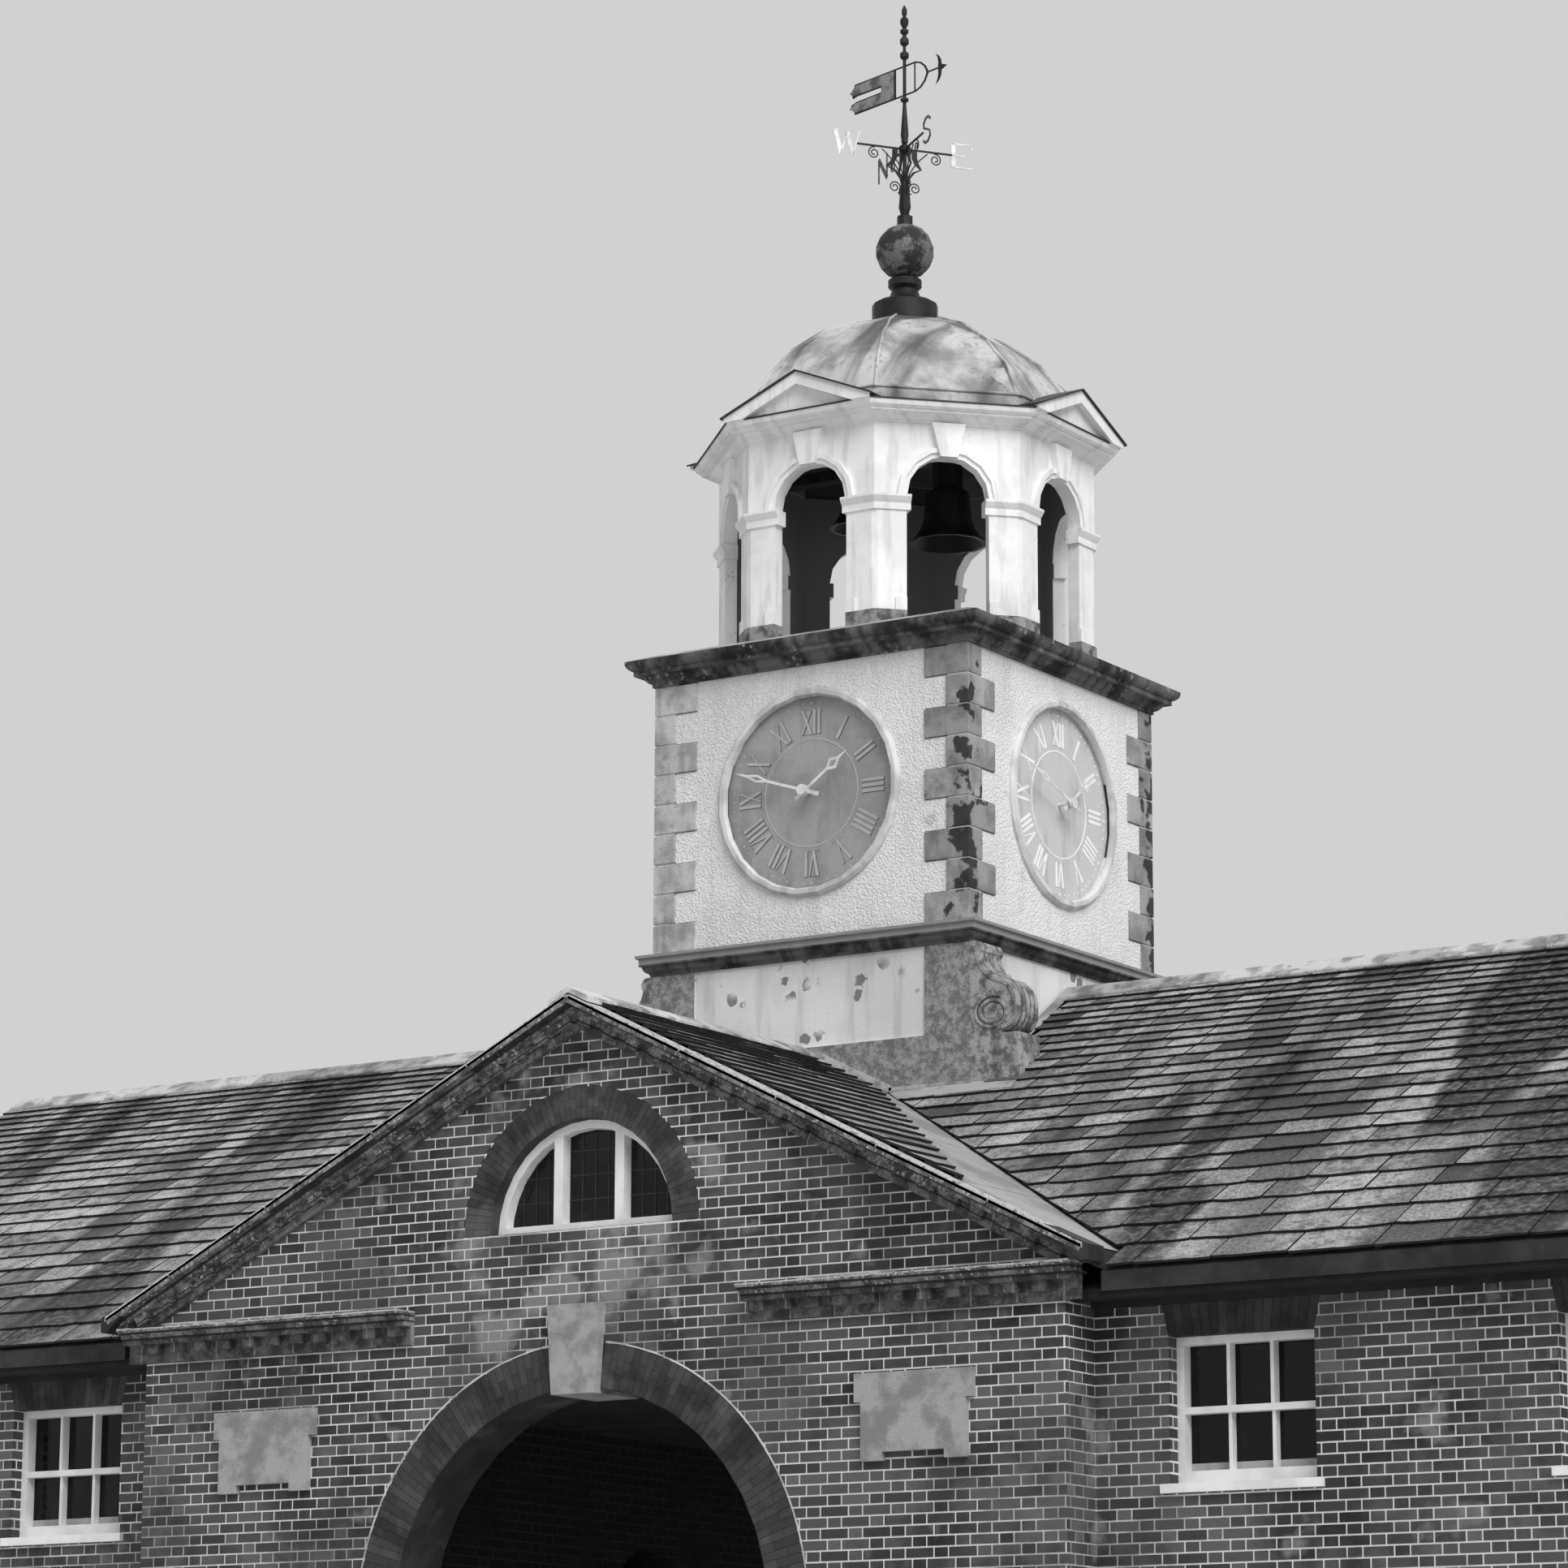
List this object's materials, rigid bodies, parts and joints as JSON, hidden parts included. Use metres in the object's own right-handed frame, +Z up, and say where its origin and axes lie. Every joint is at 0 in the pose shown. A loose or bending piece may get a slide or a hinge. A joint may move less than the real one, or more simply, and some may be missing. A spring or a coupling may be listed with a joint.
{
  "type": "clock tower",
  "caption": "Brick range with a carriage arch under a clock tower, arcaded cupola with bells, lead dome and turning vane; the clock hands turn.",
  "frame": {"origin": "on the ground at the centre of the building, under the tower's axis", "axes": "+X along the range, -Y towards the front with the carriage arch, +Z up"},
  "size_m": [18.5, 9.28, 16.83],
  "materials": {
    "brick": "rough",
    "gauged_brick": "rough",
    "stone": "rough",
    "weathered_stone": "rough",
    "white_stone": "painted",
    "render": "painted",
    "slate": "rough",
    "lead": "dull",
    "ball_copper": "weathered",
    "iron": "painted",
    "white_wood": "painted",
    "dark_wood": "painted",
    "floor_wood": "sawn",
    "glass": "clear",
    "dial": "painted",
    "hand_gilt": "gilt",
    "bell_bronze": "aged"
  },
  "bodies": {
    "building": {"arch_keystones": "stone", "arch_rings": "gauged_brick", "bell_beam": "floor_wood", "clock_stage_walls": "render", "compass_arms": "iron", "cornice_returns": "stone", "cupola_arches_diagonal": "white_stone", "cupola_arches_square": "white_stone", "cupola_cornice": "white_stone", "cupola_feet": "white_stone", "cupola_imposts": "white_stone", "cupola_pediments": "white_stone", "cupola_piers": "white_stone", "dial_rings": "stone", "dials": "dial", "dome": "lead", "eaves_bands": "dark_wood", "finial_ball": "ball_copper", "finial_neck": "iron", "floors": "floor_wood", "large_bell": "bell_bronze", "lunette_arches": "gauged_brick", "lunette_frames": "white_wood", "lunette_glass": "glass", "main_cornice": "weathered_stone", "main_roof_front": "slate", "main_roof_rear": "slate", "mast": "iron", "party_walls": "brick", "passage_door_heads": "brick", "passage_walls": "brick", "pavilion_gables": "brick", "pavilion_piers": "brick", "pavilion_roof_left": "slate", "pavilion_roof_right": "slate", "pavilion_spandrels": "brick", "quoins": "stone", "raking_cornices_left": "stone", "raking_cornices_right": "stone", "sash_frames": "white_wood", "scroll_consoles": "stone", "small_bell": "bell_bronze", "string_course": "stone", "tower_base": "render", "tower_deck": "lead", "wall_tablets": "stone", "window_glass": "glass", "window_lintels": "gauged_brick", "window_sills": "stone", "wing_walls": "brick"},
    "vane": {"vane": "iron"},
    "front_minute_hand": {"front_minute_hand": "hand_gilt"},
    "front_hour_hand": {"front_hour_hand": "hand_gilt"},
    "right_minute_hand": {"right_minute_hand": "hand_gilt"},
    "right_hour_hand": {"right_hour_hand": "hand_gilt"},
    "rear_minute_hand": {"rear_minute_hand": "hand_gilt"},
    "rear_hour_hand": {"rear_hour_hand": "hand_gilt"},
    "left_minute_hand": {"left_minute_hand": "hand_gilt"},
    "left_hour_hand": {"left_hour_hand": "hand_gilt"}
  },
  "joints": [
    {"name": "vane_turn", "type": "hinge", "parent": "building", "child": "vane", "pos_m": [0, 0, 16.1], "axis": [0, 0, 1], "continuous": true},
    {"name": "front_minute_turn", "type": "hinge", "parent": "building", "child": "front_minute_hand", "pos_m": [0, -1.403, 9.89], "axis": [0, 1, 0], "continuous": true},
    {"name": "front_hour_turn", "type": "hinge", "parent": "building", "child": "front_hour_hand", "pos_m": [0, -1.403, 9.89], "axis": [0, 1, 0], "continuous": true},
    {"name": "right_minute_turn", "type": "hinge", "parent": "building", "child": "right_minute_hand", "pos_m": [1.403, 0, 9.89], "axis": [-1, 0, 0], "continuous": true},
    {"name": "right_hour_turn", "type": "hinge", "parent": "building", "child": "right_hour_hand", "pos_m": [1.403, 0, 9.89], "axis": [-1, 0, 0], "continuous": true},
    {"name": "rear_minute_turn", "type": "hinge", "parent": "building", "child": "rear_minute_hand", "pos_m": [0, 1.403, 9.89], "axis": [0, -1, 0], "continuous": true},
    {"name": "rear_hour_turn", "type": "hinge", "parent": "building", "child": "rear_hour_hand", "pos_m": [0, 1.403, 9.89], "axis": [0, -1, 0], "continuous": true},
    {"name": "left_minute_turn", "type": "hinge", "parent": "building", "child": "left_minute_hand", "pos_m": [-1.403, 0, 9.89], "axis": [1, 0, 0], "continuous": true},
    {"name": "left_hour_turn", "type": "hinge", "parent": "building", "child": "left_hour_hand", "pos_m": [-1.403, 0, 9.89], "axis": [1, 0, 0], "continuous": true}
  ],
  "couplings": [
    {"joint": "front_hour_turn", "follows": "front_minute_turn", "ratio": 0.083333},
    {"joint": "right_minute_turn", "follows": "front_minute_turn", "ratio": 1},
    {"joint": "right_hour_turn", "follows": "front_minute_turn", "ratio": 0.083333},
    {"joint": "rear_minute_turn", "follows": "front_minute_turn", "ratio": 1},
    {"joint": "rear_hour_turn", "follows": "front_minute_turn", "ratio": 0.083333},
    {"joint": "left_minute_turn", "follows": "front_minute_turn", "ratio": 1},
    {"joint": "left_hour_turn", "follows": "front_minute_turn", "ratio": 0.083333}
  ]
}
